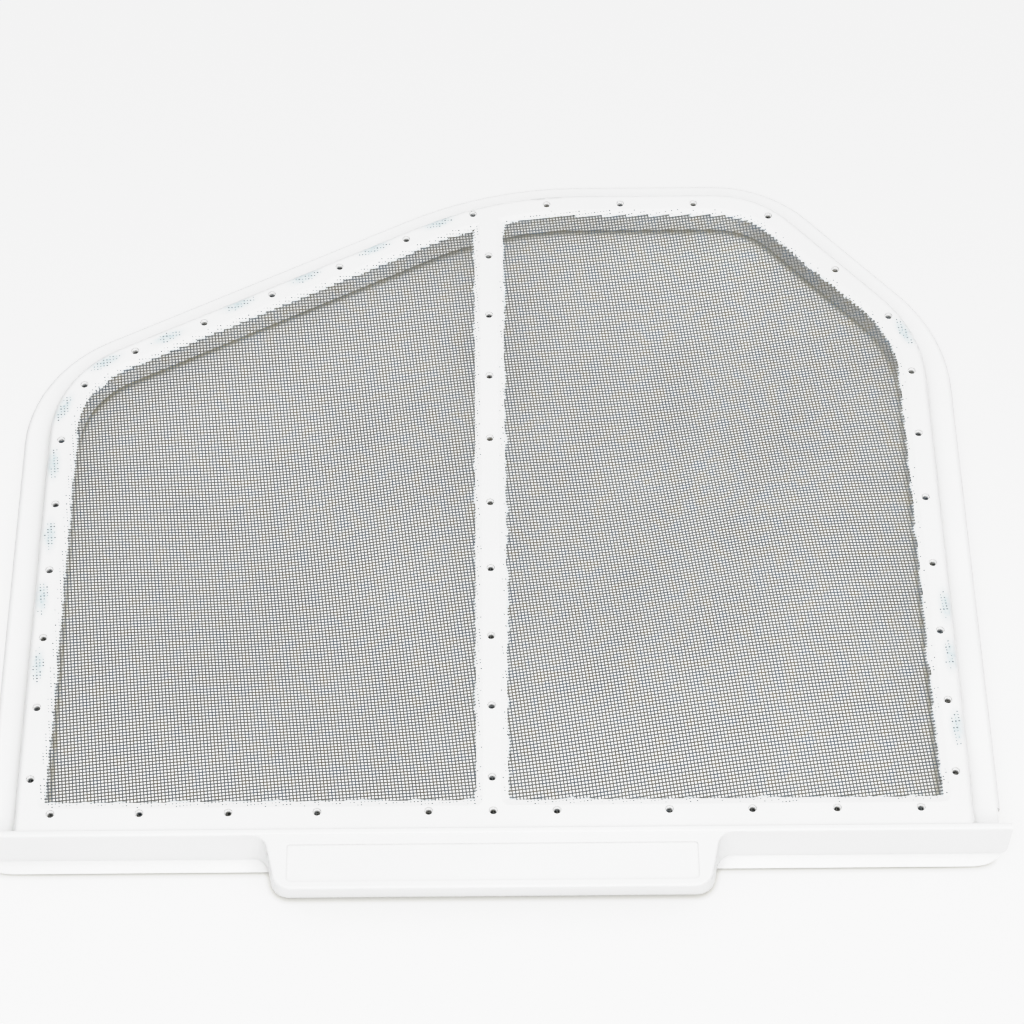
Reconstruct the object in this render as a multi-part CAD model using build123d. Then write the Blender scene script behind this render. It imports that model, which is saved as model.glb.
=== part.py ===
from build123d import *
import math
import os

# Tumble dryer lint filter: one white plastic moulding with a woven screen
# moulded into it. It lies flat, screen up, grip towards -Y.
# Millimetres. The outline is drawn from the row of locating-pin holes next to
# the grip (Y = 0) and from the pin holes in the rib (X = 0), with Z = 0 on the
# band's top face, then moved so that the origin is under the middle of the part.

# ---------------------------------------------------------------- dimensions
FRAME_BOTTOM = -10.0      # underside of the frame
RIM_TOP = -7.0            # top of the outer rim flange
RIM_W = 9.6               # rim flange width, outside the band
BAND_W = 9.3              # band width, outer edge to window edge
BAND_OUT = 4.4            # pin line to the band's outer edge
WALL = 2.0                # walls of the band's channel
TOP_T = 2.8               # band's top wall
MESH_TOP = -0.5           # the screen lies this far under the band's top face
MESH_T = 0.8              # screen thickness over the weave's knuckles
MESH_IN = 2.6             # screen edge, inside the band's outer edge
BEVEL_W = 2.2             # sloped border from the band's top down to the screen
RIB_HALF = 5.1            # centre rib at the screen
RIB_BOTTOM = -8.0         # underside of the rib
WINDOW_NEAR = 4.0         # window edge next to the grip
WINDOW_NEAR_R = 0.5
EDGE_R = 2.0              # band's outer top edge
RIM_EDGE_R = 1.8          # rim's outer top edge
WALL_CHAMFER = 0.6        # foot of the window walls
PIN_D_TOP = 2.8           # locating-pin holes: tapered from the top face
PIN_D = 1.9               # through the screen, then straight
PIN_TAPER = 1.2
KEY = 3.0                 # plastic that passes through the weave between pins

# Band outline: corner points and their radii, counter-clockwise from the grip.
BAND_NEAR_Y = -6.3
# The sides stand square to the cover plate for a short way, then draw in.
CORNERS = [
    (153.5, BAND_NEAR_Y, 0.0),
    (153.5, 14.7, 300.0),
    (152.3, 190.9, 53.0),
    (97.7, 253.0, 36.0),
    (1.9, 253.0, 128.0),
    (-151.5, 174.0, 40.0),
    (-152.2, 14.7, 300.0),
    (-152.2, BAND_NEAR_Y, 0.0),
]

# Pin holes, row by row.
ROW_NEAR = [(x, 0.0) for x in (-140.7, -112.4, -84.1, -55.8, -20.3, 0.3, 20.6, 56.4, 82.9, 109.9, 136.6)]
ROW_RIB = [(0.0, 12.2 + 26.6 * i) for i in range(9)]
ROW_RIGHT = [(148.9 - 0.0094 * y, y) for y in (12.9, 39.5, 66.1, 92.7, 119.3, 145.9, 172.5)]
ROW_FAR_RIGHT = [(141.0, 196.6), (123.6, 217.6), (101.0, 242.4)]
ROW_FAR = [(74.2, 248.4), (47.7, 248.5), (21.1, 248.4)]
ROW_SLANT = [(-5.6, 244.2), (-29.5, 232.8), (-53.2, 220.4), (-76.9, 208.2), (-100.4, 195.9), (-124.0, 183.6), (-140.8, 169.2)]
ROW_LEFT = [(-148.0 + 0.0053 * y, y) for y in (145.7, 119.1, 92.5, 65.9, 39.3, 12.7)]

# Cover plate: stands square to the frame, its lower edge turned out in a lip.
PLATE_HALF = 165.0
PLATE_REAR = -6.3
PLATE_FRONT = -8.6
PLATE_TOP = 0.7
PLATE_CORNER = (13.5, 6.5)  # lower corners, from the lip's nose: along X, up Z
PLATE_FULL = 2 / 3        # fullness of the corner's curve, 1 for an ellipse
FOOT_RUN = 12.0           # the lip's foot rises to its nose over this length
CREASE_Z = -15.8
FOOT_Z = -18.5            # lip and grip stand on this level
LIP_Y = -12.2             # lip's nose, then drawn back to its foot
LIP_Z = -17.75
LIP_FOOT_Y = -11.2
LIP_T = 1.9
RIM_NOTCH_X = 162.1
RIM_NOTCH_Y = 3.4

# Grip tab: a hollow block open underneath, its front wall drawn in downwards.
TAB_TOP = 0.45
TAB_TAPER = 0.2135        # half-width lost for each millimetre forward
TAB_HALF_TOP = 72.4       # half-width at the plate's face
TAB_HALF_FOOT = 72.7
TAB_FRONT_TOP = -27.6
TAB_FRONT_FOOT = -21.2
TAB_CORNER_R = 6.0
TAB_ROOT_R = 5.0
TAB_WALL = 2.2
TAB_EDGE_R = 0.7
PANEL_X = 65.0            # shallow recessed panel on the tab
PANEL_Y = (-25.1, -12.0)
PANEL_DEPTH = 0.35


# ------------------------------------------------------------------- helpers
def rounded_face(points, z=0.0):
    """Face from (x, y, radius) corners; a radius of 0 leaves the corner sharp."""
    n = len(points)
    ends = []
    for i, (x, y, r) in enumerate(points):
        v = Vector(x, y)
        a = (Vector(*points[i - 1][:2]) - v).normalized()
        b = (Vector(*points[(i + 1) % n][:2]) - v).normalized()
        if r <= 0:
            ends.append((v, None, v))
            continue
        half = math.radians(a.get_angle(b)) / 2
        t = r / math.tan(half)
        centre = v + (a + b).normalized() * (r / math.sin(half))
        ends.append((v + a * t, centre + (v - centre).normalized() * r, v + b * t))
    edges = []
    for i, (t1, mid, t2) in enumerate(ends):
        if mid is not None:
            edges.append(ThreePointArc(t1, mid, t2))
        nxt = ends[(i + 1) % n][0]
        if (nxt - t2).length > 1e-6:
            edges.append(Line(t2, nxt))
    return Pos(0, 0, z) * Face(Wire(edges))


def outline(off, near, near_r=0.0):
    """Band outline moved out by off (in if negative), cut square at Y = near."""
    pts = [Vector(x, y) for x, y, _ in CORNERS]
    lines = []
    for p, q in zip(pts, pts[1:]):
        d = (q - p).normalized()
        lines.append((p + Vector(d.Y, -d.X) * off, d))
    base = (Vector(0, near), Vector(1, 0))

    def cross(l1, l2):
        (p, d), (q, e) = l1, l2
        k = d.X * e.Y - d.Y * e.X
        s = ((q.X - p.X) * e.Y - (q.Y - p.Y) * e.X) / k
        return p + d * s

    loop = [base] + lines
    out = []
    for i in range(len(loop)):
        v = cross(loop[i], loop[(i + 1) % len(loop)])
        r = CORNERS[i][2]
        out.append((v.X, v.Y, r + off if r > 0 else near_r))
    return rounded_face(out)


def pane(side, grow):
    """One window (side -1 left, +1 right) at screen level, grown outwards."""
    whole = outline(grow - BAND_W, WINDOW_NEAR - grow, WINDOW_NEAR_R + grow)
    inner = RIB_HALF - grow
    half = Pos(side * (inner + 200), 130) * Rectangle(400, 400)
    cut = (whole & half).faces()[0]
    corner = [v for v in cut.vertices() if abs(v.X - side * inner) < 1e-4 and v.Y < WINDOW_NEAR + 1]
    return fillet(corner, WINDOW_NEAR_R + grow) if grow + WINDOW_NEAR_R > 0 else cut


def prism(face, z0, z1):
    return extrude(Pos(0, 0, z0) * face, z1 - z0, dir=(0, 0, 1))


def through(face_low, z0, face_high, z1):
    return Solid.make_loft([(Pos(0, 0, z0) * face_low).wires()[0], (Pos(0, 0, z1) * face_high).wires()[0]], ruled=True)


# --------------------------------------------------------------- outer shape
band = prism(outline(0, BAND_NEAR_Y), FRAME_BOTTOM, 0)
rim = prism(outline(RIM_W, BAND_NEAR_Y), FRAME_BOTTOM, RIM_TOP)
for side in (-1, 1):
    rim -= Pos(side * (RIM_NOTCH_X + 5), (BAND_NEAR_Y + RIM_NOTCH_Y) / 2, (FRAME_BOTTOM + RIM_TOP) / 2) * Box(10, RIM_NOTCH_Y - BAND_NEAR_Y, 10)
rim = fillet([e for e in rim.edges() if abs(e.center().Z - RIM_TOP) < 1e-6 and e.bounding_box().size.Z < 1e-6 and e.center().Y > BAND_NEAR_Y + 12], RIM_EDGE_R)
band = fillet([e for e in band.edges() if abs(e.center().Z) < 1e-6 and e.bounding_box().size.Z < 1e-6 and e.center().Y > BAND_NEAR_Y + 0.1], EDGE_R)
frame = band + rim

# ------------------------------------------------------------- cover plate
lip_len = math.hypot(LIP_Y - PLATE_FRONT, LIP_Z - CREASE_Z)
lip_d = Vector(0, (LIP_Y - PLATE_FRONT) / lip_len, (LIP_Z - CREASE_Z) / lip_len)
lip_n = Vector(0, -lip_d.Z, lip_d.Y)          # towards the back of the lip
back_z = CREASE_Z + (LIP_T - (PLATE_REAR - PLATE_FRONT) * lip_n.Y) / lip_n.Z
foot_back_y = PLATE_REAR + (FOOT_Z - back_z) * lip_d.Y / lip_d.Z
profile = Polyline(
    (0, PLATE_REAR, PLATE_TOP),
    (0, PLATE_FRONT, PLATE_TOP),
    (0, PLATE_FRONT, CREASE_Z),
    (0, LIP_Y, LIP_Z),
    (0, LIP_FOOT_Y, FOOT_Z),
    (0, foot_back_y, FOOT_Z),
    (0, PLATE_REAR, back_z),
    close=True,
)
plate = extrude(Face(Wire(profile.edges())), PLATE_HALF, dir=(1, 0, 0), both=True)
corner_x, corner_z = PLATE_CORNER
corner = []
for turn in (0, 8, 18, 30, 45, 60, 72, 82, 90):
    a = math.radians(turn)
    in_x = 1 - max(math.cos(a), 0) ** PLATE_FULL if turn < 90 else 1
    up_z = 1 - math.sin(a) ** PLATE_FULL
    corner.append((PLATE_HALF - corner_x * in_x, -40, LIP_Z + corner_z * up_z))
down, across = (0, 0, -1), (-1, 0, 0)
left_corner = [(-x, y, z) for x, y, z in reversed(corner)]
foot_x = corner[-1][0] - FOOT_RUN
plate_shape = extrude(
    Face(
        Wire(
            [
                Line((-PLATE_HALF, -40, PLATE_TOP + 1), (PLATE_HALF, -40, PLATE_TOP + 1)),
                Line((PLATE_HALF, -40, PLATE_TOP + 1), corner[0]),
                Spline(corner, tangents=[down, across]),
                Line(corner[-1], (foot_x, -40, FOOT_Z)),
                Line((foot_x, -40, FOOT_Z), (-foot_x, -40, FOOT_Z)),
                Line((-foot_x, -40, FOOT_Z), left_corner[0]),
                Spline(left_corner, tangents=[across, (0, 0, 1)]),
                Line(left_corner[-1], (-PLATE_HALF, -40, PLATE_TOP + 1)),
            ]
        )
    ),
    60,
    dir=(0, 1, 0),
)
plate = plate & plate_shape
top_edges = [e for e in plate.edges() if abs(e.center().Z - PLATE_TOP) < 1e-6 and e.length > 100]
plate = fillet([e for e in top_edges if abs(e.center().Y - PLATE_FRONT) < 1e-6], 0.9)
plate = fillet([e for e in plate.edges() if abs(e.center().Z - PLATE_TOP) < 1e-6 and e.length > 100 and abs(e.center().Y - PLATE_REAR) < 1e-6], 0.5)
frame = frame + plate


# ----------------------------------------------------------------- grip tab
def tab_outline(half, front, inset=0.0):
    """Tab seen from above, drawn in by inset; its root flares into the plate."""
    side = half - inset * math.hypot(1, TAB_TAPER)
    tip = half - TAB_TAPER * (PLATE_FRONT - front) - inset * math.hypot(1, TAB_TAPER) + TAB_TAPER * inset
    reach = half + TAB_ROOT_R + 1.5
    return rounded_face(
        [
            (-reach, PLATE_FRONT + 0.6, 0),
            (-reach, PLATE_FRONT, 0),
            (-side, PLATE_FRONT, TAB_ROOT_R + inset),
            (-tip, front + inset, TAB_CORNER_R - inset),
            (tip, front + inset, TAB_CORNER_R - inset),
            (side, PLATE_FRONT, TAB_ROOT_R + inset),
            (reach, PLATE_FRONT, 0),
            (reach, PLATE_FRONT + 0.6, 0),
        ]
    )


def hollow_outline(half, front):
    """The tab's hollow seen from above, one wall inside the tab."""
    half, front = half - TAB_WALL, front + TAB_WALL
    tip = half - TAB_TAPER * (PLATE_FRONT - front)
    r = TAB_CORNER_R - TAB_WALL
    return rounded_face([(-half, PLATE_FRONT, 0.8), (-tip, front, r), (tip, front, r), (half, PLATE_FRONT, 0.8)])


def tab_at(z):
    """Half-width and front of the tab's wall at a height."""
    k = (z - FOOT_Z) / (TAB_TOP - TAB_EDGE_R - FOOT_Z)
    return TAB_HALF_FOOT + k * (TAB_HALF_TOP - TAB_HALF_FOOT), TAB_FRONT_FOOT + k * (TAB_FRONT_TOP - TAB_FRONT_FOOT)


sections = [(FOOT_Z, 0.6), (FOOT_Z + 0.12, 0.3), (FOOT_Z + 0.35, 0.1), (FOOT_Z + 0.7, 0.0)]
for turn in (0, 30, 60, 90):
    a = math.radians(turn)
    sections.append((TAB_TOP - TAB_EDGE_R * (1 - math.sin(a)), TAB_EDGE_R * (1 - math.cos(a))))
wires = []
for z, inset in sections:
    half, front = tab_at(min(z, TAB_TOP - TAB_EDGE_R))
    wires.append((Pos(0, 0, z) * tab_outline(half, front, inset)).wires()[0])
tab = Part() + Solid.make_loft(wires, ruled=True)
back = Pos(0, (PLATE_REAR + PLATE_FRONT) / 2, (FOOT_Z - 10) / 2) * Box(2 * TAB_HALF_FOOT, PLATE_REAR - PLATE_FRONT, -10 - FOOT_Z)
frame = frame + tab + back
below, roof = FOOT_Z - 0.6, TAB_TOP - TAB_WALL
frame -= through(hollow_outline(*tab_at(below)), below, hollow_outline(*tab_at(roof)), roof)
panel = rounded_face([(-PANEL_X, PANEL_Y[0], 1.5), (PANEL_X, PANEL_Y[0], 1.5), (PANEL_X, PANEL_Y[1], 1.0), (-PANEL_X, PANEL_Y[1], 1.0)])
frame -= prism(panel, TAB_TOP - PANEL_DEPTH, TAB_TOP + 1)

# ---------------------------------------------- windows, rib, channel, screen
channel = outline(-WALL, BAND_NEAR_Y)
for side in (-1, 1):
    frame -= prism(pane(side, 0), FRAME_BOTTOM - 1, MESH_TOP)
    frame -= through(pane(side, 0), MESH_TOP, pane(side, BEVEL_W), 0)
    frame -= through(pane(side, WALL_CHAMFER), FRAME_BOTTOM, pane(side, 0), FRAME_BOTTOM + WALL_CHAMFER)
    channel -= pane(side, WALL)
frame -= prism(channel.faces()[0], FRAME_BOTTOM - 1, -TOP_T)
frame -= Pos(0, (WINDOW_NEAR + 237) / 2, (FRAME_BOTTOM - 1 + RIB_BOTTOM) / 2) * Box(2 * RIB_HALF, 237 - WINDOW_NEAR, RIB_BOTTOM - FRAME_BOTTOM + 1)

mesh = prism(outline(-MESH_IN, -2.0, 2.0), MESH_TOP - MESH_T, MESH_TOP)
rows = [ROW_NEAR, ROW_RIB, ROW_RIGHT, ROW_FAR_RIGHT, ROW_FAR, ROW_SLANT, ROW_LEFT]
keys = Part()
for row in rows:
    for (x0, y0), (x1, y1) in zip(row, row[1:]):
        turn = math.degrees(math.atan2(y1 - y0, x1 - x0))
        keys += Pos((x0 + x1) / 2, (y0 + y1) / 2, MESH_TOP - MESH_T / 2) * Rot(0, 0, turn) * Box(KEY, KEY, MESH_T)
mesh -= keys
frame -= mesh
for row in rows:
    for x, y in row:
        frame -= Pos(x, y, -TOP_T / 2) * Cylinder(PIN_D / 2, TOP_T + 0.2)
        frame -= Pos(x, y, -PIN_TAPER / 2) * Cone(PIN_D / 2, PIN_D_TOP / 2, PIN_TAPER)

# ---------------------------------------------------------- own frame, export
shift = Pos(0, -(TAB_FRONT_TOP + 253.0 + RIM_W) / 2, -FOOT_Z)
nodes = {"moulded_frame": shift * frame, "screen_mesh": shift * mesh}
os.makedirs("parts", exist_ok=True)
for name, shape in nodes.items():
    solids = shape.solids()
    print(name, len(solids), "solids", round(sum(s.volume for s in solids)), "mm3", shape.bounding_box())
    export_step(solids[0] if len(solids) == 1 else Compound(children=solids), "parts/%s.step" % name)
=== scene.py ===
import math

import bpy
import numpy as np
from mathutils import Matrix, Vector


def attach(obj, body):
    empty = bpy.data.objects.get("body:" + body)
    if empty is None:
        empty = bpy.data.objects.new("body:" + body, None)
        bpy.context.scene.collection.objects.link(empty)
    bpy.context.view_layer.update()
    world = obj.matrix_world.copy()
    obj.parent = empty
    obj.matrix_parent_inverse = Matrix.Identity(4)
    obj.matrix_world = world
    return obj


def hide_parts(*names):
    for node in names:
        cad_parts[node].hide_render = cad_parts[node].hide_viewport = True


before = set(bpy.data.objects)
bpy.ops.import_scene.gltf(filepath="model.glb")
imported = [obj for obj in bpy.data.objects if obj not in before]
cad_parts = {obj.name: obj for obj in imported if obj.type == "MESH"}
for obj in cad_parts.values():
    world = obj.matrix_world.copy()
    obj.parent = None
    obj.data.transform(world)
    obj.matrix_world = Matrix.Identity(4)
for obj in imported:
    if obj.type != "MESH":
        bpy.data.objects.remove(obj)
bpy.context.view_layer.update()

# The part's drawing datum, in millimetres: X = 0 on the rib's pin holes, Y = 0 on
# the pin row next to the grip, Z = 0 on the band's top face. ROW is its place in
# the row frame.
ROW = np.array([0.0, -117.5, 18.5])


def metres(p):
    return (np.asarray(p, float) + ROW) / 1000.0


# ------------------------------------------------------------------- outlines
CORNERS = [
    (153.5, -6.3, 0.0),
    (153.5, 14.7, 300.0),
    (152.3, 190.9, 53.0),
    (97.7, 253.0, 36.0),
    (1.9, 253.0, 128.0),
    (-151.5, 174.0, 40.0),
    (-152.2, 14.7, 300.0),
    (-152.2, -6.3, 0.0),
]
BAND_W = 9.3
RIB_HALF = 5.1
WINDOW_NEAR = 4.0
MESH_TOP = -0.5
MESH_MID = -0.9
BEVEL_W = 2.2

PINS = [(x, 0.0) for x in (-140.7, -112.4, -84.1, -55.8, -20.3, 0.3, 20.6, 56.4, 82.9, 109.9, 136.6)]
PINS += [(0.0, 12.2 + 26.6 * i) for i in range(9)]
PINS += [(148.9 - 0.0094 * y, y) for y in (12.9, 39.5, 66.1, 92.7, 119.3, 145.9, 172.5)]
PINS += [(141.0, 196.6), (123.6, 217.6), (101.0, 242.4), (74.2, 248.4), (47.7, 248.5), (21.1, 248.4)]
PINS += [(-5.6, 244.2), (-29.5, 232.8), (-53.2, 220.4), (-76.9, 208.2), (-100.4, 195.9), (-124.0, 183.6), (-140.8, 169.2)]
PINS += [(-148.0 + 0.0053 * y, y) for y in (145.7, 119.1, 92.5, 65.9, 39.3, 12.7)]


def outline(off, near, near_r):
    """The band's outline moved out by off, cut square at Y = near, as points."""
    pts = [np.array(c[:2]) for c in CORNERS]
    lines = [(np.array([0.0, near]), np.array([1.0, 0.0]))]
    for p, q in zip(pts, pts[1:]):
        d = (q - p) / np.linalg.norm(q - p)
        lines.append((p + np.array([d[1], -d[0]]) * off, d))
    corners = []
    for i in range(len(lines)):
        (p, d), (q, e) = lines[i], lines[(i + 1) % len(lines)]
        s = ((q[0] - p[0]) * e[1] - (q[1] - p[1]) * e[0]) / (d[0] * e[1] - d[1] * e[0])
        r = CORNERS[i][2]
        corners.append((p + d * s, r + off if r > 0 else near_r))
    out = []
    n = len(corners)
    for i, (v, r) in enumerate(corners):
        a = corners[i - 1][0] - v
        b = corners[(i + 1) % n][0] - v
        a, b = a / np.linalg.norm(a), b / np.linalg.norm(b)
        if r <= 0:
            out.append(v)
            continue
        half = math.acos(np.clip(a @ b, -1, 1)) / 2
        t = r / math.tan(half)
        centre = v + (a + b) / np.linalg.norm(a + b) * (r / math.sin(half))
        u0, u1 = v + a * t - centre, v + b * t - centre
        a0, a1 = math.atan2(u0[1], u0[0]), math.atan2(u1[1], u1[0])
        turn = (a1 - a0 + math.pi) % (2 * math.pi) - math.pi
        for k in np.linspace(0, 1, 24):
            out.append(centre + r * np.array([math.cos(a0 + turn * k), math.sin(a0 + turn * k)]))
    return np.array(out)


WINDOW = outline(-BAND_W, WINDOW_NEAR, 0.5)
BAND = outline(0.0, -6.3, 0.0)
RIM = outline(9.6, -6.3, 0.0)


def inside(loop, x, y):
    """Signed distance to a loop in millimetres, positive inside."""
    shape = x.shape
    x, y = x.ravel(), y.ravel()
    best = np.full(x.shape, 1e9)
    odd = np.zeros(x.shape, bool)
    for (ax, ay), (bx, by) in zip(loop, np.roll(loop, -1, axis=0)):
        ex, ey = bx - ax, by - ay
        k = np.clip(((x - ax) * ex + (y - ay) * ey) / (ex * ex + ey * ey + 1e-12), 0, 1)
        best = np.minimum(best, np.hypot(x - ax - k * ex, y - ay - k * ey))
        if by != ay:
            hit = ((ay > y) != (by > y)) & (x < ex * (y - ay) / ey + ax)
            odd ^= hit
    return np.where(odd, best, -best).reshape(shape)


def window_depth(x, y):
    """How far a point is inside the nearer of the two windows."""
    return np.minimum(inside(WINDOW, x, y), np.abs(x) - RIB_HALF)


# ---------------------------------------------------------------------- weave
# The cloth lies a few degrees off square in the frame and its weft wanders. Each
# system of threads is a phase over the plan, whole numbers being threads.
WARP = (
    0.89035,
    0.09888,
    [
        [0.00, -0.39, -0.02, 0.15],
        [0.04, 0.69, 0.06, -0.14],
        [0.00, -0.05, 0.11, 0.07],
        [0.17, -0.15, 0.00, 0.06],
    ],
)
WEFT = (
    -0.0961,
    0.83788,
    [
        [0.00, -1.24, -1.27, 0.77, -0.09, 0.25],
        [0.82, 0.80, -0.78, -0.60, 0.02, -0.24],
        [-1.17, -0.18, 0.15, 0.17, 0.01, 0.01],
        [-0.22, -0.67, 0.48, 0.61, 0.12, 0.17],
        [-0.08, 0.33, 0.51, -0.18, -0.06, -0.09],
        [-0.21, -0.14, 0.41, 0.26, -0.34, -0.16],
        [0.31, -0.09, -0.29, -0.02, -0.01, -0.03],
    ],
)
WARP_R, WEFT_R = 0.165, 0.206          # thread radii
WARP_CRIMP, WEFT_CRIMP = 0.06, 0.03    # how far a thread rises and dips at a crossing


def phase(system, x, y):
    """Phase of a thread system and its slopes along X and Y."""
    kx, ky, waves = system
    y = y + 0.47
    p, px, py = kx * x + ky * y, np.full(x.shape, kx), np.full(x.shape, ky)
    for m, line in enumerate(waves):
        u = math.pi * m / 320.0
        cu, su = np.cos(u * (x + 160.0)), np.sin(u * (x + 160.0))
        for n, a in enumerate(line):
            if a:
                v = math.pi * n / 270.0
                cv, sv = np.cos(v * (y + 10.0)), np.sin(v * (y + 10.0))
                p = p + a * cu * cv
                px = px - a * u * su * cv
                py = py - a * v * cu * sv
    return p, px, py


def crossings():
    """Plan positions of every crossing, as a grid of warp by weft."""
    gx, gy = np.meshgrid(np.linspace(-156, 157, 60), np.linspace(-10, 258, 60))
    a, b = phase(WARP, gx, gy)[0], phase(WEFT, gx, gy)[0]
    i = np.arange(math.floor(a.min()), math.ceil(a.max()) + 1)
    j = np.arange(math.floor(b.min()), math.ceil(b.max()) + 1)
    wi, wj = np.meshgrid(i.astype(float), j.astype(float), indexing="ij")
    det = WARP[0] * WEFT[1] - WARP[1] * WEFT[0]
    x = (wi * WEFT[1] - wj * WARP[1]) / det
    y = (wj * WARP[0] - wi * WEFT[0]) / det
    for _ in range(14):
        p, px, py = phase(WARP, x, y)
        q, qx, qy = phase(WEFT, x, y)
        ep, eq = wi - p, wj - q
        d = px * qy - py * qx
        x = x + np.clip((ep * qy - eq * py) / d, -4, 4)
        y = y + np.clip((eq * px - ep * qx) / d, -4, 4)
    return x, y, wi.astype(int), wj.astype(int)


GX, GY, GI, GJ = crossings()
rng = np.random.default_rng(1701)
GX = GX + rng.normal(0, 0.012, GX.shape)
GY = GY + rng.normal(0, 0.018, GY.shape)
DEPTH = window_depth(GX, GY)
PIN_GAP = np.full(GX.shape, 1e9)
for px, py in PINS:
    PIN_GAP = np.minimum(PIN_GAP, np.hypot(GX - px, GY - py))
KEEP = (DEPTH > -1.5) | (PIN_GAP < 2.1)
OVER = np.where((GI + GJ) % 2 == 0, 1.0, -1.0)
# The locating pins pressed the weave down where they met it.
LEVEL = MESH_MID - 0.75 * np.clip((2.1 - PIN_GAP) / 0.6, 0, 1)

REGIONS = ["left_near", "left_mid", "left_far", "right_near", "right_mid", "right_far"]


def region(x, y):
    """Which patch a point belongs to: three along Y on each side of the rib."""
    right = x > 0
    step = np.where(right, np.digitize(y, [82.0, 160.0]), np.digitize(y, [68.0, 134.0]))
    return step + 3 * right


class Patch:
    def __init__(self):
        self.points, self.quads, self.count = [], [], 0

    def tube(self, path, side, r):
        """A four-sided thread along a path, with closed ends."""
        n = len(path)
        up = np.array([0.0, 0.0, r])
        ring = np.stack([path + side * r, path + up, path - side * r, path - up], axis=1)
        base = self.count
        k = np.arange(n - 1)[:, None] * 4 + np.arange(4)[None, :]
        m = np.arange(n - 1)[:, None] * 4 + (np.arange(4)[None, :] + 1) % 4
        quads = np.stack([k, m, m + 4, k + 4], axis=2).reshape(-1, 4) + base
        caps = np.array([[3, 2, 1, 0], [4 * n - 4, 4 * n - 3, 4 * n - 2, 4 * n - 1]]) + base
        self.points.append(ring.reshape(-1, 3))
        self.quads += [quads, caps]
        self.count += 4 * n


def mesh_object(name, points, faces, smooth=True):
    """A mesh from row-frame metres and quads."""
    mesh = bpy.data.meshes.new(name)
    faces = np.asarray(faces, np.int32)
    mesh.vertices.add(len(points))
    mesh.vertices.foreach_set("co", np.asarray(points, np.float32).ravel())
    mesh.loops.add(faces.size)
    mesh.loops.foreach_set("vertex_index", faces.ravel())
    mesh.polygons.add(len(faces))
    mesh.polygons.foreach_set("loop_start", np.arange(0, faces.size, faces.shape[1], dtype=np.int32))
    mesh.polygons.foreach_set("use_smooth", np.full(len(faces), smooth))
    mesh.update(calc_edges=True)
    mesh.validate()
    obj = bpy.data.objects.new(name, mesh)
    bpy.context.scene.collection.objects.link(obj)
    return obj


patches = [Patch() for _ in REGIONS]


def lay(x, y, z, keep, r):
    """Lay one thread: tubes along its kept stretches, patch by patch."""
    joined = keep[:-1] & keep[1:]
    near = np.hypot(np.diff(x), np.diff(y)) < 3.0
    joined &= near
    if not joined.any():
        return
    where = np.where(joined, region((x[:-1] + x[1:]) / 2, (y[:-1] + y[1:]) / 2), -1)
    cuts = np.flatnonzero(np.diff(where)) + 1
    for run in np.split(np.arange(len(where)), cuts):
        if where[run[0]] < 0:
            continue
        idx = np.append(run, run[-1] + 1)
        path = np.stack([x[idx], y[idx], z[idx]], axis=1)
        along = np.gradient(path[:, :2], axis=0)
        along /= np.linalg.norm(along, axis=1)[:, None]
        side = np.stack([along[:, 1], -along[:, 0], np.zeros(len(idx))], axis=1)
        patches[where[run[0]]].tube(path, side, r)


for w in range(GX.shape[0]):
    if KEEP[w].sum() > 1:
        lay(GX[w], GY[w], LEVEL[w] + WARP_CRIMP * OVER[w], KEEP[w], WARP_R)
for w in range(GX.shape[1]):
    if KEEP[:, w].sum() > 1:
        lay(GX[:, w], GY[:, w], LEVEL[:, w] - WEFT_CRIMP * OVER[:, w], KEEP[:, w], WEFT_R)


# ------------------------------------------------- plastic run in at the edges
def wander(x, y, scale, seed):
    """Smooth value noise from 0 to 1."""
    g = np.random.default_rng(seed).random((64, 64))
    u, v = (x + 400) / scale, (y + 400) / scale
    i, j = np.floor(u).astype(int), np.floor(v).astype(int)
    fu, fv = u - i, v - j
    fu, fv = fu * fu * (3 - 2 * fu), fv * fv * (3 - 2 * fv)
    i, j = i % 63, j % 63
    return (g[i, j] * (1 - fu) + g[i + 1, j] * fu) * (1 - fv) + (g[i, j + 1] * (1 - fu) + g[i + 1, j + 1] * fu) * fv


def resample(loop, step):
    """A closed loop as evenly spaced points."""
    ring = np.vstack([loop, loop[:1]])
    s = np.append(0, np.cumsum(np.hypot(*np.diff(ring, axis=0).T)))
    at = np.linspace(0, s[-1], int(s[-1] / step), endpoint=False)
    return np.column_stack([np.interp(at, s, ring[:, 0]), np.interp(at, s, ring[:, 1])])


def pane_loop(side, step=0.3):
    """One window's edge, counter-clockwise, with the rib's side as its last stretch."""
    ring = resample(WINDOW, step)
    keep = side * ring[:, 0] > RIB_HALF
    start = np.flatnonzero(keep & ~np.roll(keep, 1))[0]
    run = np.roll(ring, -start, axis=0)[: keep.sum()]
    y0, y1 = run[-1, 1], run[0, 1]
    n = int(abs(y1 - y0) / step)
    rib = np.column_stack([np.full(n, side * RIB_HALF), np.linspace(y0, y1, n)])
    return np.vstack([run, rib])


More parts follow.
